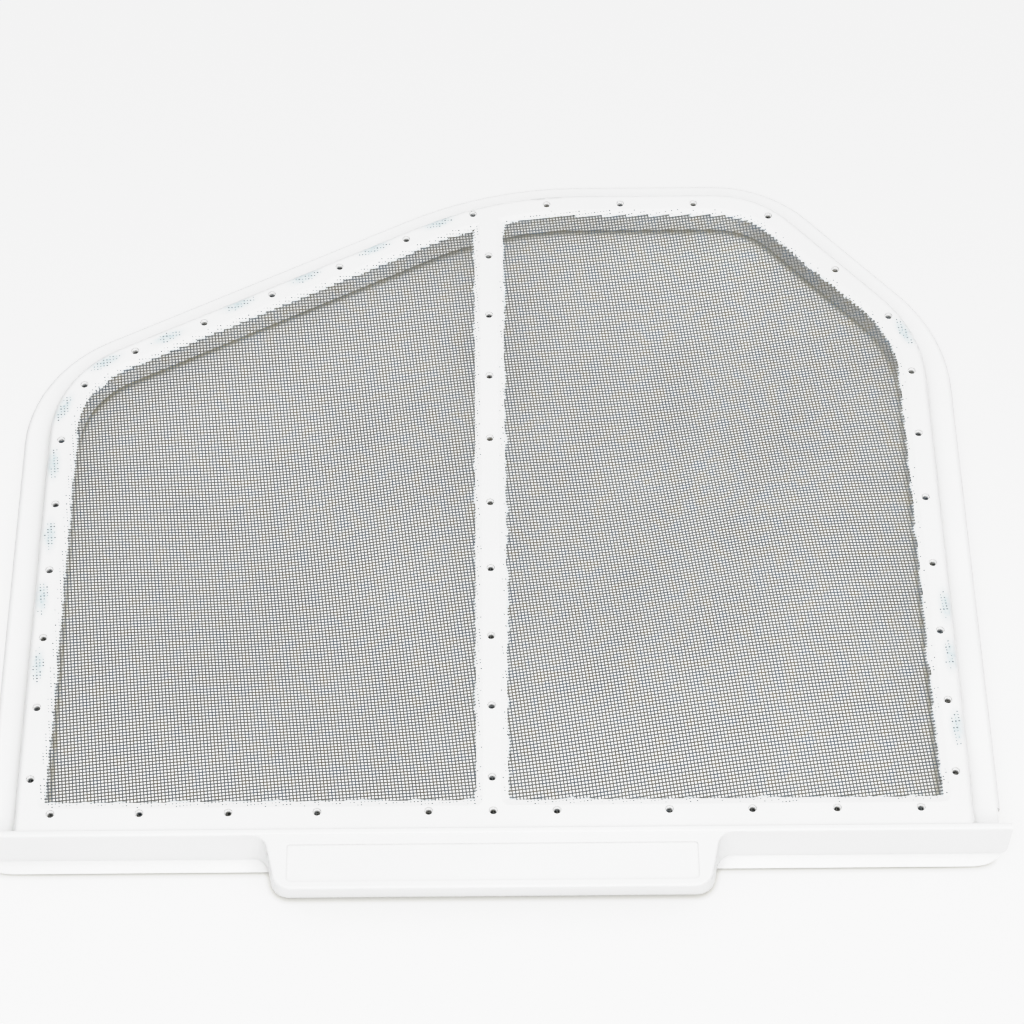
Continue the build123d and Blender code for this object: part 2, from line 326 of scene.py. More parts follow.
def skirt(side):
    """The plastic's ragged edge: it runs down into the weave and buries the threads."""
    loop = pane_loop(side)
    x, y = loop[:, 0], loop[:, 1]
    t = np.roll(loop, -4, axis=0) - np.roll(loop, 4, axis=0)
    t /= np.linalg.norm(t, axis=1)[:, None]
    inward = np.column_stack([-t[:, 1], t[:, 0]])
    along_y = np.abs(t[:, 1]) > np.abs(t[:, 0])
    warp, weft = phase(WARP, x, y), phase(WEFT, x, y)
    beat = np.where(along_y, weft[0], warp[0])
    # The plastic stops against the next thread that lies along the edge.
    run = np.where(along_y, warp[0], weft[0])
    rate = np.where(along_y, warp[1] * inward[:, 0] + warp[2] * inward[:, 1], weft[1] * inward[:, 0] + weft[2] * inward[:, 1])
    ahead = np.where(rate > 0, np.ceil(run) - run, run - np.floor(run)) / np.abs(rate)
    edge = np.where(along_y, np.where(np.abs(x) < 20, np.where(x < 0, 0.10, 0.35), np.where(x < 0, 0.40, 0.30)), 0.30)
    far = ~along_y & (y > 100)
    tooth = np.where(along_y, 0.26, np.where(far, 0.06, 0.12))
    loose = np.where(far, 0.45, 1.0)
    bury = edge + np.where(far & (np.abs(t[:, 1]) < 0.15), 0.85, 0.50) * (ahead - 0.57) - tooth * np.cos(2 * math.pi * beat)
    bury = bury + loose * (0.90 * (wander(x, y, 5.0, 5) - 0.5) + 0.60 * (wander(x, y, 1.5, 6) - 0.5))
    bury = np.maximum(bury, -0.45)
    top = MESH_MID + 0.22
    profile = [
        (np.full(len(x), -0.6), MESH_TOP - 0.02),
        (np.minimum(bury - 0.15, 0.0), MESH_TOP - 0.03),
        (bury, top),
        (bury + 0.25, MESH_MID + 0.02),
        (bury + 0.55, MESH_MID - 0.28),
        (bury + 0.50, MESH_MID - 0.385),
        (np.full(len(x), -0.6), MESH_MID - 0.385),
    ]
    rings = np.stack([np.column_stack([loop + inward * off[:, None], np.full(len(x), z)]) for off, z in profile], axis=1)
    n, m = len(x), len(profile)
    i, k = np.meshgrid(np.arange(n), np.arange(m), indexing="ij")
    j, l = (i + 1) % n, (k + 1) % m
    quads = np.stack([i * m + k, j * m + k, j * m + l, i * m + l], axis=2).reshape(-1, 4)
    return rings.reshape(-1, 3), quads


SKIRTS = [skirt(-1), skirt(1)]
flash = mesh_object(
    "edge_flash",
    metres(np.vstack([SKIRTS[0][0], SKIRTS[1][0]])),
    np.vstack([SKIRTS[0][1], SKIRTS[1][1] + len(SKIRTS[0][0])]),
)

# ------------------------------------------------------------- pin-hole collars
def collars(sides=24):
    """Plastic that ran through the weave round each pin and lines its hole."""
    profile = [(1.22, -0.46), (0.94, -1.20), (0.94, -1.34), (2.05, -1.34), (2.05, -0.46)]
    turn = 2 * math.pi * np.arange(sides) / sides
    m = len(profile)
    i, k = np.meshgrid(np.arange(sides), np.arange(m), indexing="ij")
    j, l = (i + 1) % sides, (k + 1) % m
    ring = np.stack([i * m + k, i * m + l, j * m + l, j * m + k], axis=2).reshape(-1, 4)
    pts, quads = [], []
    for n, (px, py) in enumerate(PINS):
        pts.append(np.stack([np.column_stack([px + r * np.cos(turn), py + r * np.sin(turn), np.full(sides, z)]) for r, z in profile], axis=1).reshape(-1, 3))
        quads.append(ring + n * sides * m)
    return np.vstack(pts), np.vstack(quads)


collar_points, collar_quads = collars()
lining = mesh_object("pin_collars", metres(collar_points), collar_quads)

# ------------------------------------- weave that shows at the plastic's surface
# Knuckles of the weave break the surface on the sloped border and, between some
# of the pin holes, on the band.
PATCHES = [
    (-133.9, 178.8, 33.0), (-147.2, 159.1, 68.0), (-149.0, 135.5, 91.0), (-148.3, 106.4, 91.0),
    (-149.1, 81.3, 91.0), (-148.6, 55.3, 91.0), (-112.8, 189.5, 27.0), (-88.7, 203.4, 27.0),
    (-65.4, 215.8, 27.0), (-40.7, 228.7, 27.0), (-18.1, 240.0, 24.0), (145.8, 189.4, 112.0),
    (150.8, 75.8, 91.0), (150.8, 56.4, 91.0), (150.6, 29.1, 91.0),
]
PATCH_LONG, PATCH_WIDE = 6.8, 1.9

pick = np.random.default_rng(23)
chance, size = pick.random(GX.shape), pick.random(GX.shape)
spots, facing, radius = [], [], []
band_depth = inside(BAND, GX, GY)
for px, py, turn in PATCHES:
    a = math.radians(turn)
    u = ((GX - px) * math.cos(a) + (GY - py) * math.sin(a)) / PATCH_LONG
    v = ((GY - py) * math.cos(a) - (GX - px) * math.sin(a)) / PATCH_WIDE
    far = np.hypot(u, v)
    take = (far < 1) & (chance > 0.05 + 0.5 * far**3) & (band_depth > 1.8) & (DEPTH < -BEVEL_W - 0.3)
    for x, y, k in zip(GX[take], GY[take], size[take]):
        spots.append((x, y, 0.0))
        facing.append((0.0, 0.0, 1.0))
        radius.append(0.16 + 0.14 * k)
d = 0.05
slope_x = (window_depth(GX + d, GY) - window_depth(GX - d, GY)) / (2 * d)
slope_y = (window_depth(GX, GY + d) - window_depth(GX, GY - d)) / (2 * d)
veil = wander(GX, GY, 14.0, 9)
shade = np.where((np.abs(GX) < 12) & (GX > 0) | (GX > 100), 0.35, 1.0)
take = (DEPTH < 0.1) & (DEPTH > -1.9) & (chance < (0.60 + 0.9 * veil) * shade * (1 + DEPTH / 2.4))
fall = -MESH_TOP / BEVEL_W
for x, y, q, gx, gy, k in zip(GX[take], GY[take], DEPTH[take], slope_x[take], slope_y[take], size[take]):
    nrm = np.array([fall * gx, fall * gy, 1.0])
    spots.append((x, y, MESH_TOP * (1 + q / BEVEL_W)))
    facing.append(tuple(nrm / np.linalg.norm(nrm)))
    radius.append(0.15 + 0.13 * k)


def low_caps(centres, normals, radii, sides=6, squash=0.8):
    """Low many-sided caps on a surface."""
    pts, tris = [], []
    for c, nrm, r in zip(np.array(centres), np.array(normals), radii):
        e = np.cross(nrm, (0.0, 1.0, 0.0))
        e /= np.linalg.norm(e)
        g = np.cross(nrm, e)
        base = len(pts)
        pts.append(c + nrm * 0.035)
        for k in range(sides):
            a = 2 * math.pi * k / sides
            pts.append(c + (e * math.cos(a) + g * math.sin(a) * squash) * r + nrm * 0.006)
        pts.append(c - nrm * 0.03)
        for k in range(sides):
            tris.append((base, base + 1 + k, base + 1 + (k + 1) % sides))
            tris.append((base + sides + 1, base + 1 + (k + 1) % sides, base + 1 + k))
    return np.array(pts), np.array(tris)


cap_points, cap_tris = low_caps(spots, facing, radius)
knuckles = mesh_object("surface_knuckles", metres(cap_points), cap_tris)
# Painted shade: a disc in a thread colour darker than the open weave closes the foot of each pin hole.
pin_shade_points, pin_shade_tris = low_caps([(px, py, -2.0) for px, py in PINS], [(0.0, 0.0, 1.0)] * len(PINS), [0.99] * len(PINS), 20, 1.0)
pin_shade_discs = mesh_object("pin_hole_shade", metres(pin_shade_points), pin_shade_tris)
print("knuckles", len(spots), "skirt quads", sum(len(q) for _, q in SKIRTS))


# ------------------------------------------------------------------ materials
def material(name):
    m = bpy.data.materials.new(name)
    m.use_nodes = True
    nt = m.node_tree
    return m, nt, nt.nodes["Principled BSDF"]


def node(nt, kind, **values):
    n = nt.nodes.new(kind)
    for k, v in values.items():
        if k in n.inputs:
            n.inputs[k].default_value = v
        else:
            setattr(n, k, v)
    return n


def white_plastic(name, veil_and_painted_light, low=(0.862, 0.863, 0.862), high=(0.885, 0.886, 0.886), cloud_scale=22.0):
    """Satin white moulding: slight clouding, fine mould texture, faint dust, and
    on the frame a blue-grey veil where the weave lies close under the surface,
    painted shade in corners and on the rounded outer edges, and a painted glow
    on the walls round the windows."""
    m, nt, bsdf = material(name)
    at = node(nt, "ShaderNodeTexCoord").outputs["Object"]
    cloud = node(nt, "ShaderNodeTexNoise", Scale=cloud_scale, Detail=3.0, Roughness=0.5)
    fine = node(nt, "ShaderNodeTexNoise", Scale=2400.0, Detail=2.0, Roughness=0.5)
    grain = node(nt, "ShaderNodeTexNoise", Scale=700.0, Detail=2.0, Roughness=0.6)
    for t in (cloud, fine, grain):
        nt.links.new(at, t.inputs["Vector"])
    tone = node(nt, "ShaderNodeValToRGB")
    tone.color_ramp.elements[0].position, tone.color_ramp.elements[1].position = 0.3, 0.7
    tone.color_ramp.elements[0].color = (*low, 1)
    tone.color_ramp.elements[1].color = (*high, 1)
    nt.links.new(cloud.outputs["Fac"], tone.inputs["Fac"])
    dust = node(nt, "ShaderNodeValToRGB")
    dust.color_ramp.elements[0].position, dust.color_ramp.elements[1].position = 0.70, 0.80
    dust.color_ramp.elements[0].color = (1, 1, 1, 1)
    dust.color_ramp.elements[1].color = (0.965, 0.962, 0.955, 1)
    nt.links.new(grain.outputs["Fac"], dust.inputs["Fac"])
    mix = node(nt, "ShaderNodeMix", data_type="RGBA", blend_type="MULTIPLY")
    mix.inputs["Factor"].default_value = 1.0
    nt.links.new(tone.outputs["Color"], mix.inputs[6])
    nt.links.new(dust.outputs["Color"], mix.inputs[7])
    colour = mix.outputs[2]
    if veil_and_painted_light:
        # Painted shade: concave corners within 3 mm are darkened.
        corner = node(nt, "ShaderNodeAmbientOcclusion", samples=3)
        corner.inputs["Distance"].default_value = 0.003
        painted_corner_shade = node(nt, "ShaderNodeValToRGB")
        painted_corner_shade.color_ramp.elements[0].position, painted_corner_shade.color_ramp.elements[1].position = 0.30, 0.85
        painted_corner_shade.color_ramp.elements[0].color = (0.80, 0.80, 0.79, 1)
        painted_corner_shade.color_ramp.elements[1].color = (1, 1, 1, 1)
        nt.links.new(corner.outputs["AO"], painted_corner_shade.inputs["Fac"])
        corner_shaded = node(nt, "ShaderNodeMix", data_type="RGBA", blend_type="MULTIPLY")
        corner_shaded.inputs["Factor"].default_value = 1.0
        nt.links.new(colour, corner_shaded.inputs[6])
        nt.links.new(painted_corner_shade.outputs["Color"], corner_shaded.inputs[7])
        colour = corner_shaded.outputs[2]
        veil = None
        for px, py, turn in PATCHES:
            spot = node(nt, "ShaderNodeMapping", vector_type="TEXTURE")
            spot.inputs["Location"].default_value = tuple(metres((px, py, 0.0)))
            spot.inputs["Rotation"].default_value = (0, 0, math.radians(turn))
            spot.inputs["Scale"].default_value = (0.0092, 0.0032, 0.002)
            nt.links.new(at, spot.inputs["Vector"])
            away = node(nt, "ShaderNodeVectorMath", operation="LENGTH")
            nt.links.new(spot.outputs["Vector"], away.inputs[0])
            soft = node(nt, "ShaderNodeMapRange", interpolation_type="SMOOTHSTEP")
            for socket, value in (("From Min", 0.15), ("From Max", 1.0), ("To Min", 1.0), ("To Max", 0.0)):
                soft.inputs[socket].default_value = value
            nt.links.new(away.outputs["Value"], soft.inputs["Value"])
            if veil is None:
                veil = soft.outputs["Result"]
            else:
                most = node(nt, "ShaderNodeMath", operation="MAXIMUM")
                nt.links.new(veil, most.inputs[0])
                nt.links.new(soft.outputs["Result"], most.inputs[1])
                veil = most.outputs[0]
        patchy = node(nt, "ShaderNodeMapRange")
        for socket, value in (("From Min", 0.3), ("From Max", 0.7), ("To Min", 0.55), ("To Max", 1.0)):
            patchy.inputs[socket].default_value = value
        nt.links.new(grain.outputs["Fac"], patchy.inputs["Value"])
        thin = node(nt, "ShaderNodeMath", operation="MULTIPLY")
        nt.links.new(veil, thin.inputs[0])
        nt.links.new(patchy.outputs["Result"], thin.inputs[1])
        tint = node(nt, "ShaderNodeMix", data_type="RGBA", blend_type="MULTIPLY")
        nt.links.new(thin.outputs[0], tint.inputs["Factor"])
        nt.links.new(colour, tint.inputs[6])
        tint.inputs[7].default_value = (0.71, 0.785, 0.81, 1)
        colour = tint.outputs[2]
        # Painted light: the walls round the windows, below the weave, get a faint glow that stands in for light
        # coming through the thin plastic.
        split = node(nt, "ShaderNodeSeparateXYZ")
        nt.links.new(at, split.inputs[0])
        toward = node(nt, "ShaderNodeVectorMath", operation="DOT_PRODUCT")
        nt.links.new(at, toward.inputs[0])
        flat = node(nt, "ShaderNodeVectorMath", operation="MULTIPLY")
        nt.links.new(node(nt, "ShaderNodeNewGeometry").outputs["Normal"], flat.inputs[0])
        flat.inputs[1].default_value = (-1, -1, 0)
        nt.links.new(flat.outputs["Vector"], toward.inputs[1])
        mask = None
        for source, test, value in (
            (toward.outputs["Value"], "GREATER_THAN", 0.01),
            (split.outputs["Z"], "LESS_THAN", 0.0171),
            (split.outputs["Z"], "GREATER_THAN", 0.0080),
            (split.outputs["Y"], "GREATER_THAN", -0.1180),
        ):
            is_in = node(nt, "ShaderNodeMath", operation=test)
            nt.links.new(source, is_in.inputs[0])
            is_in.inputs[1].default_value = value
            if mask is None:
                mask = is_in.outputs[0]
            else:
                both = node(nt, "ShaderNodeMath", operation="MULTIPLY")
                nt.links.new(mask, both.inputs[0])
                nt.links.new(is_in.outputs[0], both.inputs[1])
                mask = both.outputs[0]
        # The walls that face left get the least of it and stand in shade.
        lean = node(nt, "ShaderNodeSeparateXYZ")
        nt.links.new(node(nt, "ShaderNodeNewGeometry").outputs["Normal"], lean.inputs[0])
        shaded = node(nt, "ShaderNodeMapRange")
        for socket, value in (("From Min", -0.70), ("From Max", -0.20), ("To Min", 1.0), ("To Max", 0.0)):
            shaded.inputs[socket].default_value = value
        nt.links.new(lean.outputs["X"], shaded.inputs["Value"])
        dim = node(nt, "ShaderNodeMath", operation="MULTIPLY")
        nt.links.new(mask, dim.inputs[0])
        nt.links.new(shaded.outputs["Result"], dim.inputs[1])
        dimmed = node(nt, "ShaderNodeMix", data_type="RGBA", blend_type="MULTIPLY")
        nt.links.new(dim.outputs[0], dimmed.inputs["Factor"])
        nt.links.new(colour, dimmed.inputs[6])
        dimmed.inputs[7].default_value = (0.78, 0.775, 0.76, 1)
        colour = dimmed.outputs[2]
        left = node(nt, "ShaderNodeMath", operation="SUBTRACT")
        nt.links.new(mask, left.inputs[0])
        nt.links.new(dim.outputs[0], left.inputs[1])
        mask = left.outputs[0]
        # Painted shade: the rounded outer edges, turned away from the light, are greyed, most on the left.
        away_from = node(nt, "ShaderNodeMapRange")
        for socket, value in (("From Min", -0.085), ("From Max", -0.005), ("To Min", 1.0), ("To Max", 0.0)):
            away_from.inputs[socket].default_value = value
        nt.links.new(toward.outputs["Value"], away_from.inputs["Value"])
        edge_shade_mask = away_from.outputs["Result"]
        for source, value in ((split.outputs["Z"], 0.0080), (split.outputs["Y"], -0.1232)):
            is_in = node(nt, "ShaderNodeMath", operation="GREATER_THAN")
            nt.links.new(source, is_in.inputs[0])
            is_in.inputs[1].default_value = value
            both = node(nt, "ShaderNodeMath", operation="MULTIPLY")
            nt.links.new(edge_shade_mask, both.inputs[0])
            nt.links.new(is_in.outputs[0], both.inputs[1])
            edge_shade_mask = both.outputs[0]
        leftward = node(nt, "ShaderNodeMapRange")
        for socket, value in (("From Min", -0.15), ("From Max", 0.05), ("To Min", 1.0), ("To Max", 0.15)):
            leftward.inputs[socket].default_value = value
        nt.links.new(split.outputs["X"], leftward.inputs["Value"])
        both = node(nt, "ShaderNodeMath", operation="MULTIPLY")
        nt.links.new(edge_shade_mask, both.inputs[0])
        nt.links.new(leftward.outputs["Result"], both.inputs[1])
        edge_shade_mask = both.outputs[0]
        edge_shaded = node(nt, "ShaderNodeMix", data_type="RGBA", blend_type="MULTIPLY")
        nt.links.new(edge_shade_mask, edge_shaded.inputs["Factor"])
        nt.links.new(colour, edge_shaded.inputs[6])
        edge_shaded.inputs[7].default_value = (EDGE_SHADE, EDGE_SHADE, EDGE_SHADE, 1)
        colour = edge_shaded.outputs[2]
        # Painted light: the glow on those walls.
        glow = node(nt, "ShaderNodeMath", operation="MULTIPLY")
        nt.links.new(mask, glow.inputs[0])
        glow.inputs[1].default_value = PAINTED_WALL_GLOW
        bsdf.inputs["Emission Color"].default_value = (1, 1, 0.98, 1)
        nt.links.new(glow.outputs[0], bsdf.inputs["Emission Strength"])
        m.cycles.emission_sampling = "NONE"
    nt.links.new(colour, bsdf.inputs["Base Color"])
    rough = node(nt, "ShaderNodeMapRange")
    rough.inputs["To Min"].default_value, rough.inputs["To Max"].default_value = 0.36, 0.46
    nt.links.new(grain.outputs["Fac"], rough.inputs["Value"])
    nt.links.new(rough.outputs["Result"], bsdf.inputs["Roughness"])
    bump = node(nt, "ShaderNodeBump", Strength=0.06, Distance=0.0001)
    nt.links.new(fine.outputs["Fac"], bump.inputs["Height"])
    nt.links.new(bump.outputs["Normal"], bsdf.inputs["Normal"])
    bsdf.inputs["IOR"].default_value = 1.49
    return m


def monofilament(name, low, high):
    """Dark drawn thread: charcoal whose tone varies at random, with a painted sheen that grows to the right and to
    the back.
    """
    m, nt, bsdf = material(name)
    at = node(nt, "ShaderNodeTexCoord").outputs["Object"]
    big = node(nt, "ShaderNodeTexNoise", Scale=45.0, Detail=3.0, Roughness=0.6)
    hue = node(nt, "ShaderNodeTexNoise", Scale=230.0, Detail=2.0, Roughness=0.6)
    nt.links.new(at, hue.inputs["Vector"])
    small = node(nt, "ShaderNodeTexNoise", Scale=900.0, Detail=2.0, Roughness=0.6)
    for t in (big, small):
        nt.links.new(at, t.inputs["Vector"])
    add = node(nt, "ShaderNodeMath", operation="ADD")
    nt.links.new(big.outputs["Fac"], add.inputs[0])
    nt.links.new(small.outputs["Fac"], add.inputs[1])
    tone = node(nt, "ShaderNodeValToRGB")
    tone.color_ramp.elements[0].position, tone.color_ramp.elements[1].position = 0.35, 0.65
    half = node(nt, "ShaderNodeMath", operation="MULTIPLY")
    half.inputs[1].default_value = 0.5
    nt.links.new(add.outputs[0], half.inputs[0])
    nt.links.new(half.outputs[0], tone.inputs["Fac"])
    tone.color_ramp.elements[0].color = (*low, 1)
    tone.color_ramp.elements[1].color = (*high, 1)
    cast = node(nt, "ShaderNodeValToRGB")
    cast.color_ramp.elements[0].position, cast.color_ramp.elements[1].position = 0.32, 0.68
    cast.color_ramp.elements[0].color = (0.76, 0.96, 1.14, 1)
    cast.color_ramp.elements[1].color = (1.20, 1.06, 0.76, 1)
    nt.links.new(hue.outputs["Fac"], cast.inputs["Fac"])
    tinted = node(nt, "ShaderNodeMix", data_type="RGBA", blend_type="MULTIPLY")
    tinted.inputs["Factor"].default_value = 1.0
    nt.links.new(tone.outputs["Color"], tinted.inputs[6])
    nt.links.new(cast.outputs["Color"], tinted.inputs[7])
    # Painted sheen: the threads are made lighter to the right and to the back.
    place = node(nt, "ShaderNodeSeparateXYZ")
    nt.links.new(at, place.inputs[0])
    painted_sheen = None
    for axis, low, high, most in (("X", -0.12, 0.10, 1.34), ("Y", -0.10, 0.10, 1.12)):
        grow = node(nt, "ShaderNodeMapRange")
        for socket, value in (("From Min", low), ("From Max", high), ("To Min", 1.0), ("To Max", most)):
            grow.inputs[socket].default_value = value
        nt.links.new(place.outputs[axis], grow.inputs["Value"])
        if painted_sheen is None:
            painted_sheen = grow.outputs["Result"]
        else:
            both = node(nt, "ShaderNodeMath", operation="MULTIPLY")
            nt.links.new(painted_sheen, both.inputs[0])
            nt.links.new(grow.outputs["Result"], both.inputs[1])
            painted_sheen = both.outputs[0]
    sheened = node(nt, "ShaderNodeVectorMath", operation="SCALE")
    nt.links.new(tinted.outputs[2], sheened.inputs[0])
    nt.links.new(painted_sheen, sheened.inputs["Scale"])
    nt.links.new(sheened.outputs["Vector"], bsdf.inputs["Base Color"])
    rough = node(nt, "ShaderNodeMapRange")
    rough.inputs["To Min"].default_value, rough.inputs["To Max"].default_value = 0.38, 0.55
    nt.links.new(small.outputs["Fac"], rough.inputs["Value"])
    nt.links.new(rough.outputs["Result"], bsdf.inputs["Roughness"])
    bsdf.inputs["IOR"].default_value = 1.45
    bsdf.inputs["Specular IOR Level"].default_value = 0.3
    return m


def veiled_weave(name):
    """Weave seen at the plastic's surface: grey-blue, paler and darker in small random spots."""
    m, nt, bsdf = material(name)
    at = node(nt, "ShaderNodeTexCoord").outputs["Object"]
    spot = node(nt, "ShaderNodeTexNoise", Scale=420.0, Detail=1.0, Roughness=0.5)
    nt.links.new(at, spot.inputs["Vector"])
    tone = node(nt, "ShaderNodeValToRGB")
    tone.color_ramp.elements[0].position, tone.color_ramp.elements[1].position = 0.3, 0.7
    tone.color_ramp.elements[0].color = (0.13, 0.16, 0.17, 1)
    tone.color_ramp.elements[1].color = (0.40, 0.45, 0.465, 1)
    nt.links.new(spot.outputs["Fac"], tone.inputs["Fac"])
    nt.links.new(tone.outputs["Color"], bsdf.inputs["Base Color"])
    bsdf.inputs["Roughness"].default_value = 0.5
    return m


# Strength of the painted glow on the walls round the windows.
PAINTED_WALL_GLOW = 0.22
# How dark the painted shade on the rounded outer edges is.
EDGE_SHADE = 0.92
PLASTIC = white_plastic("white_plastic_moulded", True)
# Where it is thin over the weave, the plastic is faintly blue-grey.
PLASTIC_EDGE = white_plastic("white_plastic_edge", False, (0.74, 0.775, 0.79), (0.87, 0.88, 0.885), 420.0)
PLASTIC_PIN = white_plastic("white_plastic_pin", False)
THREAD = monofilament("screen_monofilament", (0.094, 0.096, 0.098), (0.158, 0.162, 0.166))
# Painted shade: the darker thread colour of the discs at the foot of the pin holes.
PIN_SHADE_THREAD = monofilament("screen_pin_shade", (0.030, 0.031, 0.032), (0.055, 0.057, 0.058))

plastic_node = bpy.data.objects["moulded_frame"]
plastic_node.data.materials.clear()
plastic_node.data.materials.append(PLASTIC)

flash.data.materials.append(PLASTIC_EDGE)
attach(flash, "root")

pin_shade_discs.data.materials.append(PIN_SHADE_THREAD)
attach(pin_shade_discs, "root")

lining.data.materials.append(PLASTIC_PIN)
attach(lining, "root")

knuckles.data.materials.append(veiled_weave("screen_under_plastic"))
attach(knuckles, "root")

for k, (name, patch) in enumerate(zip(REGIONS, patches)):
    points = metres(np.concatenate(patch.points))
    piece = mesh_object("screen_" + name, points, np.concatenate(patch.quads))
    piece.data.materials.append(THREAD)
    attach(piece, "root")
    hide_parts("screen_mesh")

# ---------------------------------------------------------------------- stage
TABLE_NEAR, TABLE_FAR, KEY_WATTS = 1.118, 0.998, 3.61
# How much painted light the table gets under the screen.
PAINTED_SCREEN_LIGHT = 1.14
HORIZON, ZENITH, SIDES, REAR = 0.862, 1.911, 1.206, 0.381
TILT = math.atan2(8.5, 268.9)     # the filter rests on the cover plate's foot and the far rim


def stage_floor():
    xs = np.concatenate([np.linspace(-2.2, -0.2, 11), np.linspace(-0.165, 0.165, 265), np.linspace(0.2, 2.2, 11)])
    ys = np.concatenate([np.linspace(-2.2, -0.2, 11), np.linspace(-0.13, 0.15, 225), np.linspace(0.2, 3.2, 16)])
    x, y = np.meshgrid(xs, ys, indexing="ij")
    z = math.tan(TILT) * (y + 0.1238) - 0.00002
    pts = np.stack([x, y, z], axis=2).reshape(-1, 3)
    n, m = len(xs), len(ys)
    i, j = np.meshgrid(np.arange(n - 1), np.arange(m - 1), indexing="ij")
    a = (i * m + j).ravel()
    quads = np.stack([a, a + m, a + m + 1, a + 1], axis=1)
    obj = mesh_object("floor", pts, quads)
    px, py = x * 1000 - ROW[0], y * 1000 - ROW[1]
    depth = inside(WINDOW, px, py)
    under = np.clip(depth / 2.0 + 1.0, 0, 1)
    covered = np.clip(-depth / 1.3, 0, 1) * np.clip(inside(RIM, px, py) / 3.0, 0, 1)
    obj.data.attributes.new("covered", "FLOAT", "POINT").data.foreach_set("value", covered.ravel().astype(np.float32))
    obj.data.attributes.new("under_screen", "FLOAT", "POINT").data.foreach_set("value", under.ravel().astype(np.float32))
    return obj


floor = stage_floor()
m, nt, bsdf = material("pale_table")
at = node(nt, "ShaderNodeTexCoord").outputs["Object"]
soft = node(nt, "ShaderNodeTexNoise", Scale=2.0, Detail=2.0, Roughness=0.5)
nt.links.new(at, soft.inputs["Vector"])
tone = node(nt, "ShaderNodeValToRGB")
tone.color_ramp.elements[0].color = (0.137, 0.137, 0.137, 1)
tone.color_ramp.elements[1].color = (0.143, 0.143, 0.143, 1)
nt.links.new(soft.outputs["Fac"], tone.inputs["Fac"])
nt.links.new(tone.outputs["Color"], bsdf.inputs["Base Color"])
bsdf.inputs["Roughness"].default_value = 0.6
bsdf.inputs["Specular IOR Level"].default_value = 0.0
# The table is lit from below, a little less towards the back.
split = node(nt, "ShaderNodeSeparateXYZ")
nt.links.new(at, split.inputs[0])
glow = node(nt, "ShaderNodeMapRange", interpolation_type="SMOOTHSTEP")
for socket, value in (("From Min", -0.24), ("From Max", 0.34), ("To Min", TABLE_NEAR), ("To Max", TABLE_FAR)):
    glow.inputs[socket].default_value = value
nt.links.new(split.outputs["Y"], glow.inputs["Value"])


def shading(reach, *tables):
    """Painted shade: darkening of the table towards what stands over it within reach."""
    near = node(nt, "ShaderNodeAmbientOcclusion", samples=3)
    near.inputs["Distance"].default_value = reach
    out = []
    for stops in tables:
        ramp = node(nt, "ShaderNodeValToRGB")
        e = ramp.color_ramp.elements
        e[0].position, e[1].position = stops[0][0], stops[-1][0]
        e[0].color, e[1].color = (*stops[0][1], 1), (*stops[-1][1], 1)
        for at_pos, colour in stops[1:-1]:
            e.new(at_pos).color = (*colour, 1)
        nt.links.new(near.outputs["AO"], ramp.inputs["Fac"])
        out.append(ramp.outputs["Color"])
    return out


contact, foot = shading(
    0.0021,
    [(0.0, (0.62, 0.615, 0.61)), (0.5, (0.83, 0.827, 0.823)), (0.92, (1, 1, 1))],
    [(0.0, (0.24, 0.235, 0.175)), (0.5, (0.46, 0.452, 0.375)), (0.85, (0.68, 0.675, 0.61)), (1.0, (1, 1, 1))],
)
(gloom,) = shading(0.022, [(0.0, (0.50, 0.49, 0.47)), (0.15, (0.68, 0.675, 0.66)), (0.25, (0.86, 0.86, 0.85)), (0.35, (0.96, 0.96, 0.96)), (0.48, (1.0, 1.0, 1.0)), (1.0, (1, 1, 1))])
shade_mix = node(nt, "ShaderNodeMix", data_type="RGBA", blend_type="MULTIPLY")
below = node(nt, "ShaderNodeAttribute", attribute_name="under_screen").outputs["Fac"]
depth_of = node(nt, "ShaderNodeMapRange")
depth_of.inputs["To Min"].default_value, depth_of.inputs["To Max"].default_value = 0.45, 1.0
nt.links.new(below, depth_of.inputs["Value"])
nt.links.new(depth_of.outputs["Result"], shade_mix.inputs["Factor"])
nt.links.new(contact, shade_mix.inputs[6])
footed = node(nt, "ShaderNodeMix", data_type="RGBA", blend_type="MULTIPLY")
footed.inputs["Factor"].default_value = 1.0
nt.links.new(gloom, footed.inputs[6])
nt.links.new(foot, footed.inputs[7])
nt.links.new(footed.outputs[2], shade_mix.inputs[7])
# Painted shadow: under the frame itself the table is darkened.
hidden = node(nt, "ShaderNodeMix", data_type="RGBA", blend_type="MULTIPLY")
nt.links.new(node(nt, "ShaderNodeAttribute", attribute_name="covered").outputs["Fac"], hidden.inputs["Factor"])
nt.links.new(shade_mix.outputs[2], hidden.inputs[6])
hidden.inputs[7].default_value = (0.41, 0.39, 0.295, 1)
nt.links.new(hidden.outputs[2], bsdf.inputs["Emission Color"])
# Painted light: the table under the screen is made brighter, so it looks brighter between the threads.
through = node(nt, "ShaderNodeMapRange")
through.inputs["To Min"].default_value, through.inputs["To Max"].default_value = 1.0, PAINTED_SCREEN_LIGHT
nt.links.new(below, through.inputs["Value"])
lift = node(nt, "ShaderNodeMath", operation="MULTIPLY")
nt.links.new(glow.outputs["Result"], lift.inputs[0])
nt.links.new(through.outputs["Result"], lift.inputs[1])
nt.links.new(lift.outputs[0], bsdf.inputs["Emission Strength"])
m.cycles.emission_sampling = "NONE"
floor.data.materials.append(m)

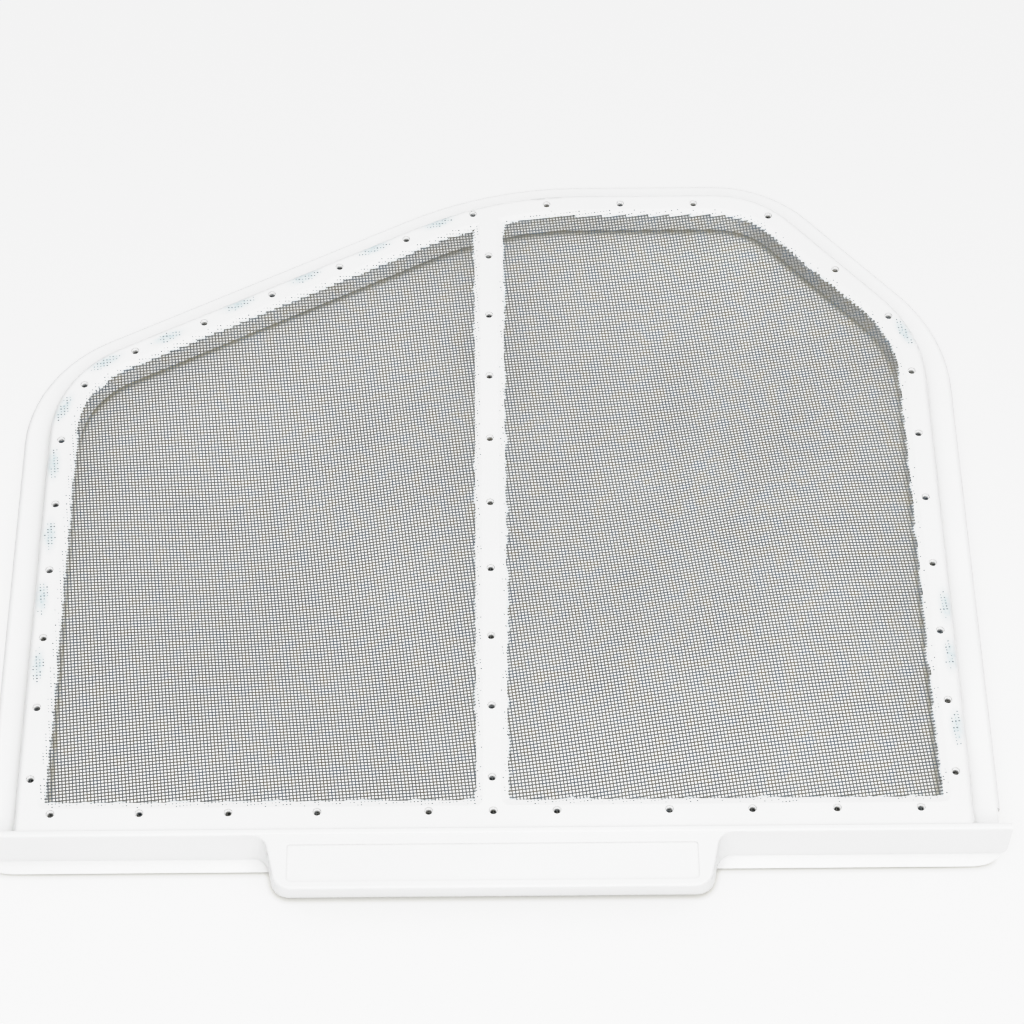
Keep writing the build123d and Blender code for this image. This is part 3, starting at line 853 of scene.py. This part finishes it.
world = bpy.data.worlds.new("studio")
bpy.context.scene.world = world
world.use_nodes = True
wt = world.node_tree
back = wt.nodes["Background"]
back.inputs["Color"].default_value = (1, 1, 1, 1)
sky = node(wt, "ShaderNodeSeparateXYZ")
wt.links.new(node(wt, "ShaderNodeTexCoord").outputs["Generated"], sky.inputs[0])
rise = node(wt, "ShaderNodeMapRange")
for socket, value in (("From Min", 0.0), ("From Max", 1.0), ("To Min", HORIZON), ("To Max", ZENITH)):
    rise.inputs[socket].default_value = value
wt.links.new(sky.outputs["Z"], rise.inputs["Value"])


def sky_math(operation, a, b):
    n = node(wt, "ShaderNodeMath", operation=operation)
    for socket, v in zip(n.inputs, (a, b)):
        if isinstance(v, float):
            socket.default_value = v
        else:
            wt.links.new(v, socket)
    return n.outputs[0]


# The room is darker to the left and right, and a little behind.
across = sky_math("MULTIPLY", sky_math("MULTIPLY", sky.outputs["X"], sky.outputs["X"]), SIDES)
behind = sky_math("MULTIPLY", sky_math("MAXIMUM", sky.outputs["Y"], 0.0), REAR)
level = sky_math("SUBTRACT", sky_math("SUBTRACT", rise.outputs["Result"], across), behind)
wt.links.new(sky_math("MAXIMUM", level, 0.02), back.inputs["Strength"])


def soft_light(name, at, aim, size, watts):
    data = bpy.data.lights.new(name, "AREA")
    data.shape, data.size, data.energy = "DISK", size, watts
    obj = bpy.data.objects.new(name, data)
    bpy.context.scene.collection.objects.link(obj)
    obj.location = at
    obj.rotation_euler = (Vector(aim) - Vector(at)).to_track_quat("-Z", "Y").to_euler()


soft_light("key", (0.10, -0.60, 0.90), (0, 0, 0), 0.8, KEY_WATTS)

# A camera's tone curve: the whites are pressed together towards the top.
tones = bpy.context.scene.view_settings
tones.view_transform = "Standard"
tones.look = "None"
tones.exposure = 0.0
tones.gamma = 1.0
tones.use_curve_mapping = True
TOP_WHITE = 1.6
tones.curve_mapping.white_level = (TOP_WHITE, TOP_WHITE, TOP_WHITE)
shoulder = tones.curve_mapping.curves[3].points
for scene_light, shown in ((0.216, 0.155), (0.675, 0.50), (1.07, 0.855), (1.22, 0.905), (1.35, 0.955)):
    shoulder.new(scene_light / TOP_WHITE, shown)
tones.curve_mapping.update()

# --------------------------------------------------------------------- camera
YAW, PITCH, ROLL = (math.radians(a) for a in (0.5626, 56.0756, 0.0253))
fwd = Vector((math.sin(YAW) * math.cos(PITCH), math.cos(YAW) * math.cos(PITCH), -math.sin(PITCH)))
right = fwd.cross(Vector((0, 0, 1))).normalized()
up = right.cross(fwd)
right, up = right * math.cos(ROLL) + up * math.sin(ROLL), up * math.cos(ROLL) - right * math.sin(ROLL)
cam_data = bpy.data.cameras.new("camera")
cam_data.lens, cam_data.sensor_width, cam_data.sensor_fit = 112.03, 36.0, "AUTO"
cam_data.clip_start, cam_data.clip_end = 0.01, 20.0
cam = bpy.data.objects.new("camera", cam_data)
bpy.context.scene.collection.objects.link(cam)
turn = Matrix((right, up, -fwd)).transposed()
cam.matrix_world = Matrix.Translation(Vector((0.001423, -0.60478, 0.91298))) @ turn.to_4x4()
bpy.context.scene.camera = cam

bpy.context.view_layer.update()
